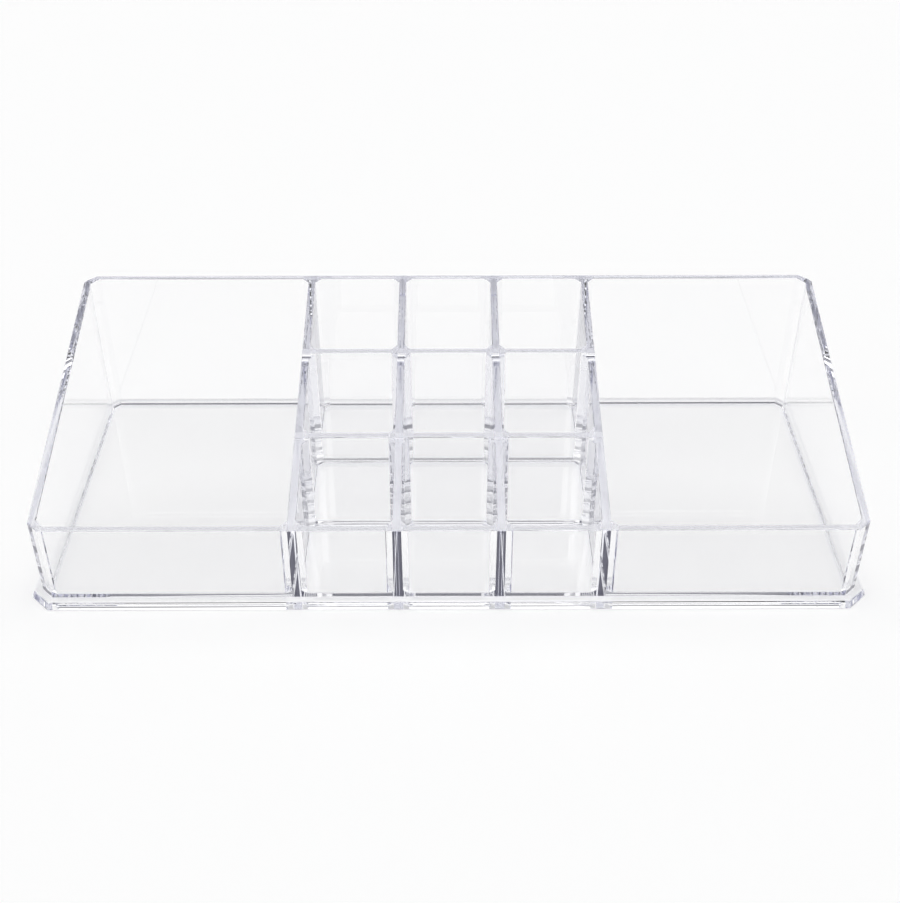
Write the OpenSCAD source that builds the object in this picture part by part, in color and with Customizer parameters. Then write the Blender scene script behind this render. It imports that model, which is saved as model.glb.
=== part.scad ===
// Clear desk-top organizer with a sloped rim: two wide side trays and nine small cells between them.
// The front faces -Y, the table is at z = 0, and the origin is under the middle of the tray.

/* [Tray] */
// Outer width of the four walls, left to right
tray_w = 256.5; // [225:0.5:290]
// Outer depth of the four walls, front to back
tray_d = 108.5; // [94:0.5:130]
// Height of the back rim above the table
back_h = 56; // [50:0.5:70]
// Height of the front rim above the table
front_h = 29.4; // [25:0.2:40]
// Thickness of the four outer walls
wall_t = 2.5; // [2:0.1:3]
// Length cut off each upright outer corner, along either wall
corner_cut = 3.9; // [2.6:0.1:5]

/* [Base plate] */
// Thickness of the base plate
base_t = 2.4; // [2:0.1:3.5]
// How far the base plate stands out beyond the walls
base_lip = 3.4; // [2:0.1:6]
// Depth of the grooves that the walls and dividers stand in
groove_depth = 1; // [0.5:0.1:1.2]

/* [Dividers] */
// Distance between neighbouring lengthwise dividers, middle to middle
cell_pitch = 32; // [28:0.5:37]
// Thickness of a divider at the height of the back rim
divider_top_t = 2.4; // [2:0.1:2.8]
// Thickness of a divider where it leaves the base plate
divider_foot_t = 3; // [2.8:0.1:3.6]
// Size of the slanted webs that widen a divider where it meets another panel
flare = 2; // [1:0.1:3]
// Depth of the upright housings that hold the ends of the dividers
housing_depth = 1; // [0.5:0.1:1.1]
// Clearance on each side of a groove, housing or slot
fit_gap = 0.1; // [0.05:0.01:0.2]

/* [Hidden] */
// Overrun of every cutting shape past the face it cuts
past = 1;

// Lengthwise dividers stand at whole and half pitches from the middle, cells lie between them
cells_wide = 3;
cells_deep = 3;
outer_x = cell_pitch * cells_wide / 2;
inner_x = outer_x - cell_pitch;

// Inside faces of the walls
inner_w = tray_w - 2 * wall_t;
inner_d = tray_d - 2 * wall_t;
// A chamfer that runs parallel to another, a given distance outside it, is longer by this share of it
parallel_share = 2 - sqrt(2);
inner_cut = corner_cut - wall_t * parallel_share;
lip_cut = corner_cut + base_lip * parallel_share;

// Rows of cells are equally deep
row_pitch = (inner_d + divider_foot_t) / cells_deep;
rows_y = [-row_pitch / 2, row_pitch / 2];

// Every panel's foot stands on the floor of its groove
foot_z = base_t - groove_depth;
// The front and back rims are level. Between their inside faces, the rims of the side walls and of the
// lengthwise dividers lie in one slanted plane.
rim_rise = (back_h - front_h) / inner_d;
function rim_z(y) = front_h + (y + inner_d / 2) * rim_rise;

// A divider tapers evenly from the base plate up to the height of the back rim
taper_side = (divider_foot_t - divider_top_t) / 2;
taper_angle = atan(taper_side / (back_h - base_t));
function half_t(z) = divider_foot_t / 2 - taper_side * (z - base_t) / (back_h - base_t);
// A flare runs on into the web that carries it, and every cut that trims one is wider than it
sink = divider_top_t / 2;
flare_reach = divider_foot_t + flare + past;

// A cross divider's level rim meets the slanted rims at its rear face
function cross_front(row) = rows_y[row] - divider_foot_t / 2;
function cross_rear(row) = rows_y[row] + divider_foot_t / 2;
function cross_top(row) = rim_z(cross_rear(row));
// Crossing dividers are halved into each other at mid height
function lap_z(row) = (base_t + cross_top(row)) / 2;
// Ends of the dividers: on the floors of their housings
length_end = inner_d / 2 + housing_depth;
cross_end = outer_x - divider_top_t / 2 + housing_depth;

// Upright prism over a rectangle whose four corners are cut off
module cut_corner_outline(w, d, cut) {
    polygon([
        [-w / 2 + cut, -d / 2], [w / 2 - cut, -d / 2], [w / 2, -d / 2 + cut], [w / 2, d / 2 - cut],
        [w / 2 - cut, d / 2], [-w / 2 + cut, d / 2], [-w / 2, d / 2 - cut], [-w / 2, -d / 2 + cut]
    ]);
}

// Front or back wall seen from above: it ends in a mitre halfway round each cut corner
module long_wall_outline() {
    x = tray_w / 2;
    y = tray_d / 2;
    xi = inner_w / 2;
    yi = inner_d / 2;
    polygon([
        [-x + corner_cut / 2, -y + corner_cut / 2], [-x + corner_cut, -y],
        [x - corner_cut, -y], [x - corner_cut / 2, -y + corner_cut / 2],
        [xi - inner_cut / 2, -yi + inner_cut / 2], [xi - inner_cut, -yi],
        [-xi + inner_cut, -yi], [-xi + inner_cut / 2, -yi + inner_cut / 2]
    ]);
}

// Side wall seen from above, mitred to fit the long walls
module side_wall_outline() {
    x = tray_w / 2;
    y = tray_d / 2;
    xi = inner_w / 2;
    yi = inner_d / 2;
    polygon([
        [-x + corner_cut / 2, -y + corner_cut / 2], [-x, -y + corner_cut],
        [-x, y - corner_cut], [-x + corner_cut / 2, y - corner_cut / 2],
        [-xi + inner_cut / 2, yi - inner_cut / 2], [-xi, yi - inner_cut],
        [-xi, -yi + inner_cut], [-xi + inner_cut / 2, -yi + inner_cut / 2]
    ]);
}

// Everything below the rims of the outer walls
module below_rim() {
    reach_y = tray_d / 2 + past;
    translate([-tray_w / 2 - past, 0, 0])
        rotate([90, 0, 90])
            linear_extrude(tray_w + 2 * past)
                polygon([
                    [-reach_y, 0], [reach_y, 0], [reach_y, back_h], [inner_d / 2, back_h],
                    [-inner_d / 2, front_h], [-reach_y, front_h]
                ]);
}

// Section of a tapered divider from its foot up, widened by a clearance on each side
module divider_section(clear = 0) {
    polygon([
        [-half_t(base_t) - clear, foot_z], [half_t(base_t) + clear, foot_z],
        [half_t(base_t) + clear, base_t], [half_t(back_h) + clear, back_h],
        [-half_t(back_h) - clear, back_h], [-half_t(base_t) - clear, base_t]
    ]);
}

// Tapered web along Y, between two places
module web_along_y(y0, y1, clear = 0) {
    translate([0, y1, 0])
        rotate([90, 0, 0])
            linear_extrude(y1 - y0)
                divider_section(clear);
}

// Tapered web along X, between two places
module web_along_x(x0, x1, clear = 0) {
    translate([x0, 0, 0])
        rotate([90, 0, 90])
            linear_extrude(x1 - x0)
                divider_section(clear);
}

// Two slanted webs that widen a divider along Y at y = 0, between two heights. They narrow towards +Y and
// lean with its faces.
module flare_pair(z0, z1) {
    intersection() {
        for (side = [0, 1])
            mirror([side, 0, 0])
                translate([half_t(z0), 0, z0])
                    rotate([0, -taper_angle, 0])
                        translate([0, 0, -past])
                            linear_extrude(z1 - z0 + 2 * past)
                                polygon([[-sink, -sink], [flare + sink, -sink], [-sink, flare + sink]]);
        translate([-flare_reach, -flare_reach, z0])
            cube([2 * flare_reach, 2 * flare_reach, z1 - z0]);
    }
}

// Space taken by a crossing panel of the other direction
module cross_space(row) {
    translate([0, rows_y[row], 0])
        web_along_x(-flare_reach, flare_reach, fit_gap);
}
module length_space(x) {
    translate([x, 0, 0])
        web_along_y(-tray_d / 2, tray_d / 2, fit_gap);
}
// Space in which a lengthwise divider is lowered. It is straight, as wide as the divider is at one height.
module lowering_space(x, z) {
    w = 2 * (half_t(z) + fit_gap);
    translate([x - w / 2, -tray_d / 2, 0])
        cube([w, tray_d, back_h]);
}

// Side view of a lengthwise divider: slanted, with a short level step where a cross divider passes
module length_profile(reach) {
    translate([-reach, 0, 0])
        rotate([90, 0, 90])
            linear_extrude(2 * reach)
                polygon([
                    [-length_end, foot_z], [length_end, foot_z], [length_end, back_h], [inner_d / 2, back_h],
                    for (row = [len(rows_y) - 1 : -1 : 0]) each [
                        [cross_rear(row), cross_top(row)],
                        [cross_front(row), cross_top(row)],
                        [cross_front(row), rim_z(cross_front(row))]
                    ],
                    [-inner_d / 2, front_h], [-length_end, front_h]
                ]);
}

// Flares at both ends of a lengthwise divider, against the inside faces of the long walls
module end_flares() {
    for (end = [0, 1])
        mirror([0, end, 0])
            translate([0, -inner_d / 2 + fit_gap, 0])
                intersection() {
                    flare_pair(base_t, back_h);
                    translate([-flare_reach, 0, 0])
                        cube([2 * flare_reach, flare_reach, back_h]);
                }
}

// Lengthwise divider, standing at x = 0
module length_divider_body() {
    intersection() {
        union() {
            web_along_y(-length_end, length_end);
            end_flares();
        }
        length_profile(flare_reach);
    }
}

// Inner lengthwise divider: slotted from below, and lowered over the cross dividers. Its flares stand above
// the slots, where nothing is in their way.
module slotted_divider() {
    difference() {
        union() {
            length_divider_body();
            intersection() {
                for (row = [0, 1])
                    upper_flares(row);
                length_profile(flare_reach);
            }
        }
        for (row = [0, 1])
            intersection() {
                cross_space(row);
                translate([-tray_w / 2, -tray_d / 2, 0])
                    cube([tray_w, tray_d, lap_z(row)]);
            }
    }
}

// Flares of an inner lengthwise divider at a cross divider, above mid height
module upper_flares(row) {
    difference() {
        for (side = [0, 1])
            translate([0, rows_y[row], 0])
                mirror([0, side, 0])
                    translate([0, half_t(lap_z(row)), 0])
                        flare_pair(lap_z(row), back_h);
        cross_space(row);
    }
}

// Outer lengthwise divider, with housings for the cross dividers on its +X face
module housed_divider() {
    difference() {
        length_divider_body();
        for (row = [0, 1])
            translate([outer_x - cross_end, rows_y[row], 0])
                rotate([90, 0, 90])
                    linear_extrude(divider_foot_t + past)
                        divider_section(fit_gap);
    }
}

// Cross divider: slotted from above for the inner dividers, its ends housed in the outer ones
module cross_divider(row) {
    difference() {
        union() {
            translate([0, rows_y[row], 0])
                intersection() {
                    web_along_x(-cross_end, cross_end);
                    translate([-cross_end, -tray_d / 2, foot_z])
                        cube([2 * cross_end, tray_d, cross_top(row) - foot_z]);
                }
            intersection() {
                translate([0, rows_y[row], 0])
                    cross_flares(row);
                length_profile(tray_w / 2);
            }
        }
        for (x = [-inner_x, inner_x])
            intersection() {
                lowering_space(x, lap_z(row));
                translate([-tray_w / 2, -tray_d / 2, lap_z(row)])
                    cube([tray_w, tray_d, back_h]);
            }
    }
}

// Flares of a cross divider: over the full height at its ends, below mid height at its slots
module cross_flares(row) {
    difference() {
        for (end = [0, 1])
            mirror([end, 0, 0])
                translate([-outer_x + half_t(base_t), 0, 0])
                    rotate([0, 0, -90])
                        flare_pair(base_t, back_h);
        for (x = [-outer_x, outer_x])
            length_space(x);
    }
    difference() {
        for (x = [-inner_x, inner_x])
            for (side = [0, 1])
                translate([x, 0, 0])
                    mirror([side, 0, 0])
                        translate([half_t(base_t), 0, 0])
                            rotate([0, 0, -90])
                                flare_pair(base_t, lap_z(row));
        for (x = [-inner_x, inner_x])
            lowering_space(x, base_t);
    }
}

// Housings for the dividers' ends, cut into the inside face of a long wall at -Y
module wall_housings() {
    for (x = [-outer_x, -inner_x, inner_x, outer_x])
        translate([x, 0, 0])
            web_along_y(-length_end, -inner_d / 2 + past, fit_gap);
}

module base_plate() {
    color([0.9, 0.91, 0.93])
        difference() {
            linear_extrude(base_t)
                cut_corner_outline(tray_w + 2 * base_lip, tray_d + 2 * base_lip, lip_cut);
            translate([0, 0, foot_z])
                linear_extrude(base_t)
                    panel_footprint();
        }
}

// All grooves of the base plate: the ring of walls, and the grid of dividers
module panel_footprint() {
    difference() {
        cut_corner_outline(tray_w + 2 * fit_gap, tray_d + 2 * fit_gap, corner_cut + fit_gap * parallel_share);
        cut_corner_outline(inner_w - 2 * fit_gap, inner_d - 2 * fit_gap, inner_cut - fit_gap * parallel_share);
    }
    groove_w = divider_foot_t + 2 * fit_gap;
    for (x = [-outer_x, -inner_x, inner_x, outer_x])
        translate([x, 0])
            square([groove_w, inner_d + wall_t], center = true);
    for (y = rows_y)
        translate([0, y])
            square([2 * outer_x, groove_w], center = true);
}

module front_wall() {
    color([0.86, 0.87, 0.91])
        difference() {
            intersection() {
                translate([0, 0, foot_z])
                    linear_extrude(back_h)
                        long_wall_outline();
                below_rim();
            }
            wall_housings();
        }
}

module back_wall() {
    color([0.86, 0.87, 0.91])
        mirror([0, 1, 0])
            difference() {
                translate([0, 0, foot_z])
                    linear_extrude(back_h - foot_z)
                        long_wall_outline();
                wall_housings();
            }
}

module left_wall() {
    color([0.8, 0.81, 0.86])
        intersection() {
            translate([0, 0, foot_z])
                linear_extrude(back_h)
                    side_wall_outline();
            below_rim();
        }
}

module right_wall() {
    mirror([1, 0, 0])
        left_wall();
}

module divider_outer_left() {
    color([0.74, 0.75, 0.81])
        translate([-outer_x, 0, 0])
            housed_divider();
}

module divider_outer_right() {
    mirror([1, 0, 0])
        divider_outer_left();
}

module divider_inner_left() {
    color([0.74, 0.75, 0.81])
        translate([-inner_x, 0, 0])
            slotted_divider();
}

module divider_inner_right() {
    mirror([1, 0, 0])
        divider_inner_left();
}

module cross_divider_front() {
    color([0.7, 0.71, 0.78])
        cross_divider(0);
}

module cross_divider_back() {
    color([0.7, 0.71, 0.78])
        cross_divider(1);
}

base_plate();
front_wall();
back_wall();
left_wall();
right_wall();
divider_outer_left();
divider_inner_left();
divider_inner_right();
divider_outer_right();
cross_divider_front();
cross_divider_back();
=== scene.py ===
import math

import bmesh
import bpy
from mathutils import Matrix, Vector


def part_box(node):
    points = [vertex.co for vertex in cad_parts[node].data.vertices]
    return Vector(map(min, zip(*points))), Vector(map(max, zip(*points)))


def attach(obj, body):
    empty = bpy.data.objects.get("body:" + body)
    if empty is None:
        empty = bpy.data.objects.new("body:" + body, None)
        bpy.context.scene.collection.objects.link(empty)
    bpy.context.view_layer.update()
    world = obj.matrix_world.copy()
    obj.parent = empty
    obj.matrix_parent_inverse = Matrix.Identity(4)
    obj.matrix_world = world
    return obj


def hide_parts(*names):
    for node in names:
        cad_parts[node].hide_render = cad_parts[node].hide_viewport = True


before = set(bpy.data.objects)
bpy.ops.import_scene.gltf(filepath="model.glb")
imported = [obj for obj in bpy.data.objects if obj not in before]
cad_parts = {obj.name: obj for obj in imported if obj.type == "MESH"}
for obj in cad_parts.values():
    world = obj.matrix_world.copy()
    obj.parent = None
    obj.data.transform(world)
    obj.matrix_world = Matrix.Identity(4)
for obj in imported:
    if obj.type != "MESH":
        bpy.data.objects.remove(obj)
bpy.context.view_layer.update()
mm = 0.001


class Wire:  # a node's output, which can stand in a sum
    def __init__(self, graph, socket):
        self.graph = graph
        self.socket = socket

    def maths(self, operation, *values):
        return self.graph.node("ShaderNodeMath", {"operation": operation}, dict(enumerate(values)))

    def __add__(self, other):
        return self.maths("ADD", self, other)

    def __radd__(self, other):
        return self.maths("ADD", other, self)

    def __sub__(self, other):
        return self.maths("SUBTRACT", self, other)

    def __rsub__(self, other):
        return self.maths("SUBTRACT", other, self)

    def __mul__(self, other):
        return self.maths("MULTIPLY", self, other)

    def __rmul__(self, other):
        return self.maths("MULTIPLY", other, self)

    def __truediv__(self, other):
        return self.maths("DIVIDE", self, other)

    def __rtruediv__(self, other):
        return self.maths("DIVIDE", other, self)

    def __pow__(self, other):
        return self.maths("POWER", self, other)

    def __rpow__(self, other):
        return self.maths("POWER", other, self)

    def __gt__(self, other):
        return self.maths("GREATER_THAN", self, other)

    def __neg__(self):
        return self.maths("MULTIPLY", self, -1.0)

    def __abs__(self):
        return self.maths("ABSOLUTE", self)


def setStops(elements, stops):
    while len(elements) < len(stops):
        elements.new(1.0)
    for element, (place, colour) in zip(elements, stops):
        element.position = place
        element.color = (*colour, 1.0)


class Graph:  # a node tree, written as expressions
    def __init__(self, tree):
        self.tree = tree

    def node(self, kind, settings=None, values=None, output=0):  # a list of outputs gives a list of wires
        made = self.tree.nodes.new(kind)
        for name, value in (settings or {}).items():
            if name == "stops":
                setStops(made.color_ramp.elements, value)
            else:
                setattr(made, name, value)
        for name, value in (values or {}).items():
            if isinstance(value, Wire):
                self.tree.links.new(value.socket, made.inputs[name])
            else:
                made.inputs[name].default_value = value
        if isinstance(output, list):
            return [Wire(self, made.outputs[name]) for name in output]
        return Wire(self, made.outputs[output]) if made.outputs else None


def emptyGraph(owner):  # of a material or the world
    owner.use_nodes = True
    owner.node_tree.nodes.clear()
    return Graph(owner.node_tree)


# Clear plastic

clearPlastic = {
    "ior": 1.57,
    "baseColour": (1.0, 1.0, 1.0, 1.0),
    "roughness": 0.0,
    "tint": (0.0, 0.02, 0.30, 1.0),  # what the volume leaves of each colour, as a share
    "density": 3.0,  # per metre of plastic
    "litPlateDensity": 1.0,  # of the base plate, which light crosses lengthwise; lower than the walls' though it is the same plastic, as painted light that lightens the shade on the floor under the tray
    "waveScale": 45.0,  # the faint waviness of a moulded face, in waves per metre
    "waveDetail": 1.0,
    "waveHeight": 0.012 * mm,
}


def plasticMaterial(name, look, density):
    material = bpy.data.materials.new(name)
    graph = emptyGraph(material)
    bond = graph.node("ShaderNodeAttribute", {"attribute_name": "bond"}, output="Fac")
    place = graph.node("ShaderNodeTexCoord", output="Object")
    waves = graph.node("ShaderNodeTexNoise", {}, {
        "Vector": place, "Scale": look["waveScale"], "Detail": look["waveDetail"],
    })
    bump = graph.node("ShaderNodeBump", {}, {"Distance": look["waveHeight"], "Height": waves})
    surface = graph.node("ShaderNodeBsdfPrincipled", {}, {
        "Base Color": look["baseColour"],
        "Normal": bump,
        "Roughness": look["roughness"],
        "IOR": look["ior"],
        "Transmission Weight": 1.0,
        "Alpha": 1 - bond,  # a bonded face doesn't show
    })
    volume = graph.node("ShaderNodeVolumeAbsorption", {}, {"Color": look["tint"], "Density": density})
    graph.node("ShaderNodeOutputMaterial", {}, {"Surface": surface, "Volume": volume})
    return material


plastic = plasticMaterial("clearPlastic", clearPlastic, clearPlastic["density"])
# the base plate's copy of the plastic absorbs less: painted light, which lightens the floor seen under the
# tray
litPlatePlastic = plasticMaterial("clearPlateLit", clearPlastic, clearPlastic["litPlateDensity"])
cutFace = bpy.data.materials.new("cutFace")  # of the faces that a cut leaves, until they are marked
print("materials made")

# Sizes of the tray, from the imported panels

shell = {
    "wall": 2.5 * mm,
    "footThickness": 3.0 * mm,  # of a divider, at the floor
    "topThickness": 2.4 * mm,  # of a divider, at the height of the back rim
    "flare": 2.0 * mm,
    "floorRound": 0.6 * mm,
    "floorSteps": 7,  # faces in a round
    "rimRound": 0.25 * mm,
    "rimSteps": 3,
    "rimAngle": 50,  # degrees, past which an edge is rounded as a rim
    "rimProud": 0.3 * mm,  # how far a cross divider's level rim reaches into the flares
    "rimTurn": 0.4 * mm,  # how far inside the front and back walls the level rims turn into the slope
    "lipRound": 0.7 * mm,
    "lipSteps": 5,
    "lipLean": 0.7 * mm,  # how far the lip's edge leans inwards over its height
}

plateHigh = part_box("base_plate")[1]
floorZ = plateHigh.z
outerX = -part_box("left_wall")[0].x
outerY = -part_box("front_wall")[0].y
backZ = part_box("back_wall")[1].z
cornerCut = 2 * (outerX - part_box("front_wall")[1].x)
diagonalShare = 2 - math.sqrt(2)
innerX, innerY = outerX - shell["wall"], outerY - shell["wall"]
innerCut = cornerCut - shell["wall"] * diagonalShare
lip = plateHigh.x - outerX
lipCut = cornerCut + lip * diagonalShare
slopeShare = innerCut / 2 / (2 * innerY)  # the share of the slope that the front wall's ends reach up
frontZ = (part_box("front_wall")[1].z - slopeShare * backZ) / (1 - slopeShare)
slopeStart = -innerY + shell["rimTurn"]
rimRise = (backZ - frontZ) / (-2 * slopeStart)


def middle(node, axis):
    low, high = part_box(node)
    return (low[axis] + high[axis]) / 2


lengthNodes = ["divider_outer_left", "divider_inner_left", "divider_inner_right", "divider_outer_right"]
crossNodes = ["cross_divider_front", "cross_divider_back"]
halfFoot = shell["footThickness"] / 2
columnX = [middle(n, 0) for n in lengthNodes]
rowY = [middle(n, 1) for n in crossNodes]
crossZ = [frontZ + (y + halfFoot - slopeStart) * rimRise for y in rowY]
lapZ = [(floorZ + z) / 2 for z in crossZ]
draft = (shell["footThickness"] - shell["topThickness"]) / 2 / (backZ - floorZ)

# One rule makes every main form: a block with four cut corners, drafted sides and a rounded foot


def between(first, second, share):
    return first + share * (second - first)


def blockTree(steps):
    tree = bpy.data.node_groups.new("corneredBlock", "GeometryNodeTree")
    names = ["west", "east", "south", "north", "westDraft", "eastDraft", "southDraft", "northDraft",
             "westCut", "eastCut", "bottom", "top", "footRound"]
    for name in names:
        tree.interface.new_socket(name, in_out="INPUT", socket_type="NodeSocketFloat")
    tree.interface.new_socket("material", in_out="INPUT", socket_type="NodeSocketMaterial")
    tree.interface.new_socket("Geometry", in_out="OUTPUT", socket_type="NodeSocketGeometry")
    graph = Graph(tree)
    names.append("material")
    size = dict(zip(names, graph.node("NodeGroupInput", output=names)))
    corners = 8
    prism = graph.node("GeometryNodeMeshCylinder", {"fill_type": "NGON"}, {
        "Vertices": corners, "Side Segments": steps + 1, "Radius": 1.0, "Depth": 2.0,
    })
    halfCorner = (0, 0, math.pi / corners)
    turned = graph.node("GeometryNodeTransform", {}, {"Geometry": prism, "Rotation": halfCorner})
    place = graph.node("GeometryNodeInputPosition")
    x, y, z = graph.node("ShaderNodeSeparateXYZ", {}, {0: place}, output=[0, 1, 2])
    isEast, isNorth = x > 0, y > 0
    outwardX, outwardY = isEast * 2 - 1, isNorth * 2 - 1
    endsRow = abs(x) > abs(y)  # the corner point that lies on the west or east side
    level = (z + 1) / 2 * (steps + 1)  # the first levels round the foot, and the last one is the top
    turn = graph.node("ShaderNodeMath", {"operation": "MINIMUM"}, {0: level / steps, 1: 1.0}) * (math.pi / 2)
    inset = size["footRound"] * (1 - graph.node("ShaderNodeMath", {"operation": "SINE"}, {0: turn}))
    rise = size["footRound"] * (1 - graph.node("ShaderNodeMath", {"operation": "COSINE"}, {0: turn}))
    isTop = level > steps + 0.5
    height = rise + isTop * (size["top"] - size["bottom"] - rise)
    cut = between(size["westCut"], size["eastCut"], isEast) - inset * diagonalShare
    sideX = between(size["west"], size["east"], isEast) - outwardX * inset
    sideY = between(size["south"], size["north"], isNorth) - outwardY * inset
    draftX = between(size["westDraft"], size["eastDraft"], isEast)
    draftY = between(size["southDraft"], size["northDraft"], isNorth)
    moved = graph.node("ShaderNodeCombineXYZ", {}, {
        0: sideX - outwardX * cut * (1 - endsRow) + outwardX * draftX * height,
        1: sideY - outwardY * cut * endsRow + outwardY * draftY * height,
        2: size["bottom"] + height,
    })
    shaped = graph.node("GeometryNodeSetPosition", {}, {"Geometry": turned, "Position": moved})
    merged = graph.node("GeometryNodeMergeByDistance", {}, {"Geometry": shaped, "Distance": 0.001 * mm})
    realised = graph.node("GeometryNodeRealizeInstances", {}, {"Geometry": merged})
    dressed = graph.node("GeometryNodeSetMaterial", {}, {"Geometry": realised, "Material": size["material"]})
    graph.node("NodeGroupOutput", {}, {"Geometry": dressed})
    return tree


blocks = blockTree(shell["floorSteps"])


def addObject(name, mesh):
    made = bpy.data.objects.new(name, mesh)
    bpy.context.scene.collection.objects.link(made)
    return made


def plainMesh(thing, name):  # bakes a piece's modifiers into a new mesh object
    bpy.context.view_layer.update()
    evaluated = thing.evaluated_get(bpy.context.evaluated_depsgraph_get())
    mesh = bpy.data.meshes.new_from_object(evaluated)
    bpy.data.objects.remove(thing)
    mesh.name = name
    return addObject(name, mesh)


def block(name, **values):
    carrier = addObject(name, bpy.data.meshes.new(name))
    modifier = carrier.modifiers.new("block", "NODES")
    modifier.node_group = blocks
    values["material"] = plastic
    for item in blocks.interface.items_tree:
        if item.in_out == "INPUT" and item.name in values:
            modifier[item.identifier] = values[item.name]
    return plainMesh(carrier, name)


def drawnOut(name, start, end, material):  # the solid between two outlines with the same number of corners
    count = len(start)
    faces = [list(range(count))[::-1], list(range(count, 2 * count))]
    faces += [[i, (i + 1) % count, count + (i + 1) % count, count + i] for i in range(count)]
    mesh = bpy.data.meshes.new(name)
    mesh.from_pydata(start + end, [], faces)
    mesh.materials.append(material)
    bm = bmesh.new()
    bm.from_mesh(mesh)
    bmesh.ops.recalc_face_normals(bm, faces=bm.faces)
    bm.to_mesh(mesh)
    bm.free()
    return addObject(name, mesh)


def joined(name, things):
    mesh = bpy.data.meshes.new(name)
    bm = bmesh.new()
    for thing in things:
        bm.from_mesh(thing.data)
    bm.to_mesh(mesh)
    bm.free()
    mesh.materials.append(things[0].data.materials[0])
    for thing in things:
        bpy.data.objects.remove(thing)
    return addObject(name, mesh)


def combine(thing, tools, operation, name):
    for tool in tools:
        modifier = thing.modifiers.new(tool.name, "BOOLEAN")
        modifier.operation = operation
        modifier.solver = "EXACT"
        modifier.object = tool
        modifier.material_mode = "TRANSFER"
        modifier.use_self = operation == "UNION"
    made = plainMesh(thing, name)
    for tool in tools:
        bpy.data.objects.remove(tool)
    return made


# The tray as one body, before it is divided into its panels

over = 5 * mm  # how far a cutting shape runs past what it cuts
far = 2 * over
top = backZ + over


def profileBlock(name, profile, west, east):  # an outline in the YZ plane, drawn out along X
    return drawnOut(name, [(west, y, z) for y, z in profile], [(east, y, z) for y, z in profile], plastic)


def trayShell():
    lean = -shell["lipLean"] / floorZ
    plate = block(
        "plate", west=-plateHigh.x, east=plateHigh.x, south=-plateHigh.y, north=plateHigh.y,
        westDraft=lean, eastDraft=lean, southDraft=lean, northDraft=lean,
        westCut=lipCut, eastCut=lipCut, bottom=0.0, top=floorZ,
    )
    walls = block(
        "walls", west=-outerX, east=outerX, south=-outerY, north=outerY,
        westCut=cornerCut, eastCut=cornerCut, bottom=floorZ / 2, top=top,
    )
    aboveRims = profileBlock("aboveRims", [
        (-outerY - over, frontZ), (slopeStart, frontZ), (-slopeStart, backZ),
        (outerY + over, backZ), (outerY + over, backZ + far), (-outerY - over, backZ + far),
    ], -outerX - over, outerX + over)
    walls = combine(walls, [aboveRims], "DIFFERENCE", "walls")
    return combine(plate, [walls], "UNION", "body")


def crossRims():  # the cross dividers have level rims, which pass over the lengthwise ones as a short step
    made = []
    for y, z in zip(rowY, crossZ):
        half = halfFoot - draft * (z - floorZ) + shell["rimProud"]
        end = columnX[-1] + half
        profile = [(y - half, floorZ / 2), (y + half, floorZ / 2), (y + half, z), (y - half, z)]
        made.append(profileBlock("crossRim", profile, -end, end))
    return made


def compartments():
    made = []
    xs = [-innerX] + [x + side * halfFoot for x in columnX for side in (-1, 1)] + [innerX]
    ys = [-innerY] + [y + side * halfFoot for y in rowY for side in (-1, 1)] + [innerY]
    last = len(columnX)
    for column in range(last + 1):
        west, east = xs[2 * column], xs[2 * column + 1]
        isTray = column in (0, last)
        for row in range(1 if isTray else len(rowY) + 1):
            south, north = (ys[0], ys[-1]) if isTray else (ys[2 * row], ys[2 * row + 1])
            made.append(block(
                "compartment", west=west, east=east, south=south, north=north,
                westDraft=0.0 if column == 0 else draft,
                eastDraft=0.0 if column == last else draft,
                southDraft=0.0 if south == ys[0] else draft,
                northDraft=0.0 if north == ys[-1] else draft,
                westCut=innerCut if column == 0 else shell["flare"],
                eastCut=innerCut if column == last else shell["flare"],
                bottom=floorZ, top=top, footRound=shell["floorRound"],
            ))
    return made


body = trayShell()
body = combine(body, crossRims(), "UNION", "body")
body = combine(body, [joined("compartments", compartments())], "DIFFERENCE", "body")
print("body made,", len(body.data.polygons), "faces")

near = 0.02 * mm  # points closer than this are one, and a cut passes this far beside its face
flat = math.radians(0.5)  # faces that turn less than this are one
circular = 0.5  # a bevel's profile


def isLipEdge(edge):
    isTop = all(abs(v.co.z - floorZ) < near for v in edge.verts)
    isBeside = all(abs(v.co.x) > outerX + lip / 2 or abs(v.co.y) > outerY + lip / 2 for v in edge.verts)
    return isTop and isBeside


def isRimEdge(edge):
    return edge.is_manifold and edge.calc_face_angle_signed() > math.radians(shell["rimAngle"])


def roundEdges(thing):
    bm = bmesh.new()
    bm.from_mesh(thing.data)
    bmesh.ops.remove_doubles(bm, verts=bm.verts, dist=near)
    bmesh.ops.dissolve_limit(bm, angle_limit=flat, verts=bm.verts, edges=bm.edges)
    for kind, width, steps in ((isLipEdge, "lipRound", "lipSteps"), (isRimEdge, "rimRound", "rimSteps")):
        edges = [edge for edge in bm.edges if kind(edge)]
        bmesh.ops.bevel(bm, geom=edges, offset=shell[width], segments=shell[steps], profile=circular,
                        affect="EDGES")
    bm.to_mesh(thing.data)
    bm.free()


roundEdges(body)
print("edges rounded,", len(body.data.polygons), "faces")

# The body is divided into the panels that it is bonded from. The cut faces are marked, because a bond
# doesn't show.

gap = 0.01 * mm  # between two bonded faces
cutZ = floorZ + near  # the base plate ends here
narrow = halfFoot + near  # half the width of a divider
slotHalf = narrow + gap
wide = narrow + shell["floorRound"]  # half its width with the rounds along its foot
footRim = cutZ + shell["floorRound"]
reach = halfFoot + shell["flare"] + shell["floorRound"]  # half its width with its flares
lengthEnd = innerY - near - gap
innerColumns = (1, 2)  # the lengthwise dividers that the cross dividers pass


def cutPrism(outline, low, high):
    foot = [(x, y, low) for x, y in outline]
    head = [(x, y, high) for x, y in outline]
    return drawnOut("cutPrism", foot, head, cutFace)


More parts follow.
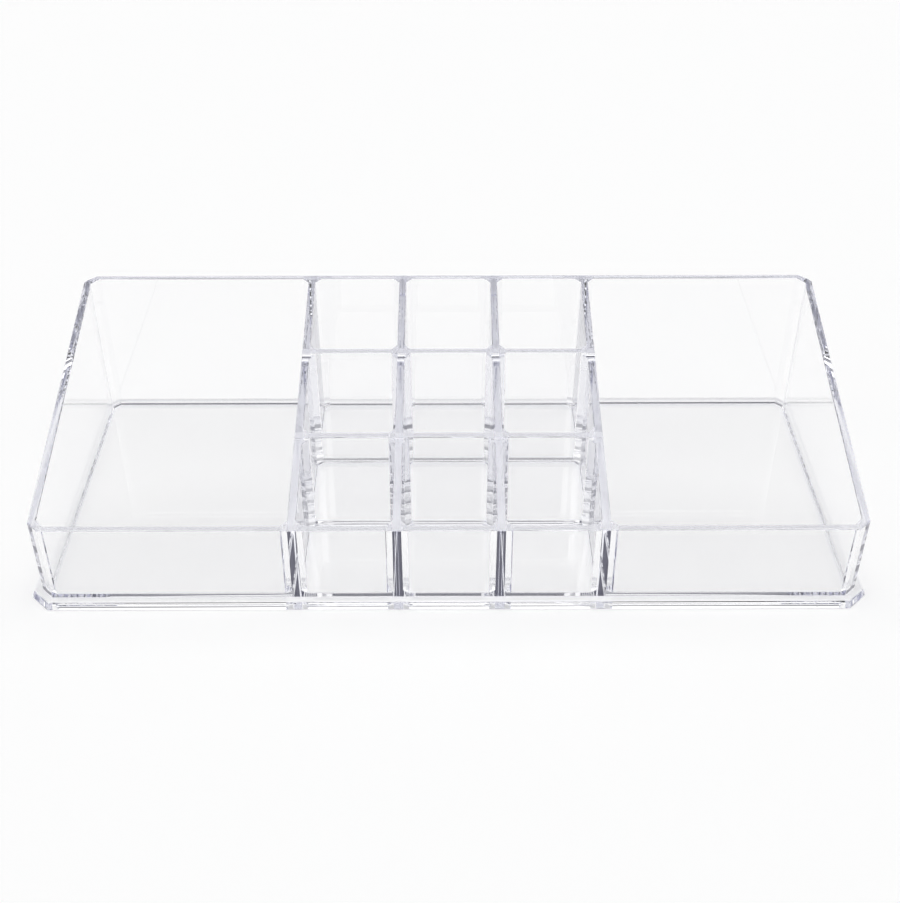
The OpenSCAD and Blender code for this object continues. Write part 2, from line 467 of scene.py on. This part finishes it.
def cutBox(x, y, z):
    outline = [(min(x), min(y)), (max(x), min(y)), (max(x), max(y)), (min(x), max(y))]
    return cutPrism(outline, min(z), max(z))


def panel(node, keep, drop=()):
    region = keep[0]
    if keep[1:]:
        region = combine(region, keep[1:], "UNION", "region")
    if drop:
        region = combine(region, list(drop), "DIFFERENCE", "region")
    made = combine(addObject(node, body.data.copy()), [region], "INTERSECT", node + "_clear")
    mesh = made.data
    cutIndex = list(mesh.materials).index(cutFace)
    marks = [float(p.material_index == cutIndex) for p in mesh.polygons]
    mesh.attributes.new("bond", "FLOAT", "FACE").data.foreach_set("value", marks)
    mesh.polygons.foreach_set("material_index", [0] * len(mesh.polygons))
    mesh.polygons.foreach_set("use_smooth", [False] * len(mesh.polygons))
    mesh.materials.clear()
    mesh.materials.append(litPlatePlastic if node == "base_plate" else plastic)
    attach(made, "root")
    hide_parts(node)
    print(node, len(mesh.polygons), "faces,", int(sum(marks)), "bonded")


def insideWalls(inset, low, high):  # the room that the walls enclose
    x, y = innerX - inset, innerY - inset
    cut = innerCut - inset * diagonalShare
    quarter = [(x, y - cut), (x - cut, y)]
    half = quarter + [(-px, py) for px, py in reversed(quarter)]
    return cutPrism(half + [(-px, -py) for px, py in half], low, high)


def wallRegion(side, isLong):  # one side of the ring outside that room, mitred halfway round each corner
    farX, farY = innerX + far, innerY + far
    nearX, nearY = innerX - over, innerY - over
    if isLong:
        outline = [(-farX + gap, side * farY), (farX - gap, side * farY),
                   (nearX - gap, side * nearY), (-nearX + gap, side * nearY)]
    else:
        outline = [(side * farX, -farY), (side * farX, farY), (side * nearX, nearY), (side * nearX, -nearY)]
    room = insideWalls(near, footRim, backZ + far)
    footRoom = insideWalls(near + shell["floorRound"], 0, backZ)
    return [cutPrism(outline, cutZ, top)], [room, footRoom]


def lengthRegion(column):
    x = columnX[column]
    keep = [cutBox((x - narrow, x + narrow), (-lengthEnd, lengthEnd), (cutZ, top))]
    drop = []
    footEnd = lengthEnd - shell["floorRound"]
    for end in (-1, 1):
        flareY = (end * lengthEnd, end * (lengthEnd - reach))
        keep.append(cutBox((x - reach, x + reach), flareY, (cutZ, top)))
        footY = (end * footEnd, end * (lengthEnd + far))  # the walls keep the round along their own feet
        drop.append(cutBox((x - far, x + far), footY, (0, footRim + gap)))
    for side in (-1, 1):
        foot = (x, x + side * wide)
        edges = [-lengthEnd, lengthEnd]
        if column in innerColumns or side * x < 0:  # the cross dividers keep the foot of their flares
            edges[1:1] = [y + s * (reach + gap) for y in rowY for s in (-1, 1)]
        for start, stop in zip(edges[::2], edges[1::2]):
            keep.append(cutBox(foot, (start, stop), (cutZ, footRim)))
    if column in innerColumns:  # slotted from below, with its flares above the lap
        for y, lap in zip(rowY, lapZ):
            drop.append(cutBox((x - far, x + far), (y - slotHalf, y + slotHalf), (0, lap + gap)))
            for sideX in (-1, 1):
                for sideY in (-1, 1):
                    flareY = (y + sideY * slotHalf, y + sideY * reach)
                    keep.append(cutBox((x, x + sideX * reach), flareY, (lap + gap, top)))
    return keep, drop


def crossRegion(row):
    y, lap = rowY[row], lapZ[row]
    crossEnd = columnX[-1] - slotHalf
    keep = [
        cutBox((-crossEnd, crossEnd), (y - narrow, y + narrow), (cutZ, top)),
        cutBox((-crossEnd, crossEnd), (y - wide, y + wide), (cutZ, footRim)),
    ]
    drop = []
    for side in (-1, 1):
        flareX = (side * crossEnd, side * (columnX[-1] - reach))
        keep.append(cutBox(flareX, (y - reach, y + reach), (cutZ, top)))
    for x in [columnX[column] for column in innerColumns]:  # slotted from above, its flares below the lap
        keep.append(cutBox((x - reach, x + reach), (y - reach, y + reach), (cutZ, lap)))
        for side in (-1, 1):
            drop.append(cutBox((x - slotHalf, x + slotHalf), (y + side * narrow, y + side * far), (0, top)))
        drop.append(cutBox((x - slotHalf, x + slotHalf), (y - far, y + far), (lap, top)))
    return keep, drop


plateRegion = cutBox((-outerX - far, outerX + far), (-outerY - far, outerY + far), (-over, cutZ - gap))
panel("base_plate", [plateRegion])
panel("front_wall", *wallRegion(-1, True))
panel("back_wall", *wallRegion(1, True))
panel("left_wall", *wallRegion(-1, False))
panel("right_wall", *wallRegion(1, False))
for column, node in enumerate(lengthNodes):
    panel(node, *lengthRegion(column))
for row, node in enumerate(crossNodes):
    panel(node, *crossRegion(row))
bpy.data.objects.remove(body)
print("panels cut")

# The sheet of white paper that the tray stands on

paper = {
    "colour": (0.99, 0.99, 0.99, 1.0),
    "roughness": 1.0,
    "specular": 0.0,
    "below": 0.1 * mm,  # the tray's underside
    "thickness": 10 * mm,
    "reach": 3.0,  # metres to each side
}


def paperMaterial(name, look):
    material = bpy.data.materials.new(name)
    graph = emptyGraph(material)
    surface = graph.node("ShaderNodeBsdfPrincipled", {}, {
        "Base Color": look["colour"], "Roughness": look["roughness"], "Specular IOR Level": look["specular"],
    })
    graph.node("ShaderNodeOutputMaterial", {}, {"Surface": surface})
    return material


def paperSheet(name, look):
    edge = look["reach"]
    outline = [(-edge, -edge), (edge, -edge), (edge, edge), (-edge, edge)]
    high = -look["below"]
    low = high - look["thickness"]
    return drawnOut(name, [(x, y, low) for x, y in outline], [(x, y, high) for x, y in outline],
                    paperMaterial("floorPaper", look))


studioFloor = paperSheet("studioFloor", paper)

# A white studio, with a softbox high behind the tray and two dark cards below it. Clear plastic shows only
# what it bends into view, so the cards draw its edges.

studioLight = {
    "strength": 2.02,
    "cardBlue": 0.02,  # how much bluer than white a dark card is
    "blend": (0.5, 0.9),  # cosine of the angle from straight back or front, over which a side turns into it
    # degrees above the horizon, and how bright it is there
    "back": (
        (0, 0.49), (18, 0.52),  # wall
        (21, 0.06), (29, 0.06),  # lower card
        (31, 0.27), (37, 0.27),  # slot between the cards
        (39, 0.06), (49, 0.06),  # upper card
        (51, 0.90), (60, 0.90),  # softbox
        (62, 0.62),  # ceiling
    ),
    "side": (
        (0, 0.48), (5, 0.48),  # foot of the wall
        (13, 0.64), (37, 0.68),  # lit wall
        (40, 0.54), (49, 0.58),  # shaded wall
        (52, 0.49), (70, 0.44),  # edge of the ceiling
        (74, 0.62),  # ceiling
    ),
    "front": (
        (0, 0.47), (18, 0.48),  # wall
        (21, 0.22), (29, 0.22),  # lower grey card
        (31, 0.42), (42, 0.43),  # slot between the cards
        (45, 0.31), (59, 0.31),  # upper grey card
        (62, 0.50), (70, 0.51),  # edge of the ceiling
        (74, 0.62),  # ceiling
    ),
}


def skyStops(light, part):
    stops = []
    for angle, bright in light[part]:
        blue = bright + light["cardBlue"] * (1 - 2 * bright)
        stops.append((math.sin(math.radians(angle)), (bright, bright, blue)))
    return stops


def studioWorld(name, light):
    world = bpy.data.worlds.new(name)
    graph = emptyGraph(world)
    direction = graph.node("ShaderNodeTexCoord", output="Generated")
    x, y, z = graph.node("ShaderNodeSeparateXYZ", {}, {0: direction}, output=[0, 1, 2])
    towards = y / (x * x + y * y) ** 0.5
    colour = graph.node("ShaderNodeValToRGB", {"stops": skyStops(light, "side")}, {0: z})
    for part, facing in (("back", towards), ("front", -towards)):
        share = graph.node("ShaderNodeMapRange", {"interpolation_type": "SMOOTHSTEP"}, {
            "Value": facing, "From Min": light["blend"][0], "From Max": light["blend"][1],
        })
        shade = graph.node("ShaderNodeValToRGB", {"stops": skyStops(light, part)}, {0: z})
        colour = graph.node("ShaderNodeMix", {"data_type": "RGBA"}, {
            0: share, 6: colour, 7: shade,
        }, output=2)
    glow = graph.node("ShaderNodeBackground", {}, {"Color": colour, "Strength": light["strength"]})
    graph.node("ShaderNodeOutputWorld", {}, {"Surface": glow})
    return world


bpy.context.scene.world = studioWorld("studio", studioLight)
print("studio made")

# Camera

shot = {
    "focalPixels": 1333.4,
    "frameHeight": 903,  # pixels, the longer side of the frame
    "sensor": 36.0,
    "nearest": 10 * mm,
    "place": (-0.90 * mm, -361.86 * mm, 289.91 * mm),
    "pitch": 36.866,  # degrees below the horizon
    "yaw": -0.215,
}

lens = bpy.data.cameras.new("camera")
lens.sensor_width = shot["sensor"]
lens.lens = shot["focalPixels"] / shot["frameHeight"] * shot["sensor"]
lens.clip_start = shot["nearest"]
camera = addObject("camera", lens)
camera.location = shot["place"]
camera.rotation_euler = (math.radians(90 - shot["pitch"]), 0, math.radians(shot["yaw"]))
bpy.context.scene.camera = camera
print("camera placed")

bpy.context.scene.view_settings.view_transform = "Standard"
cycles = bpy.context.scene.cycles
cycles.max_bounces = 64
cycles.transmission_bounces = 64
cycles.glossy_bounces = 64
cycles.diffuse_bounces = 16
cycles.transparent_max_bounces = 256
cycles.blur_glossy = 0.0  # a blur on bounced light would darken the floor seen through the tray
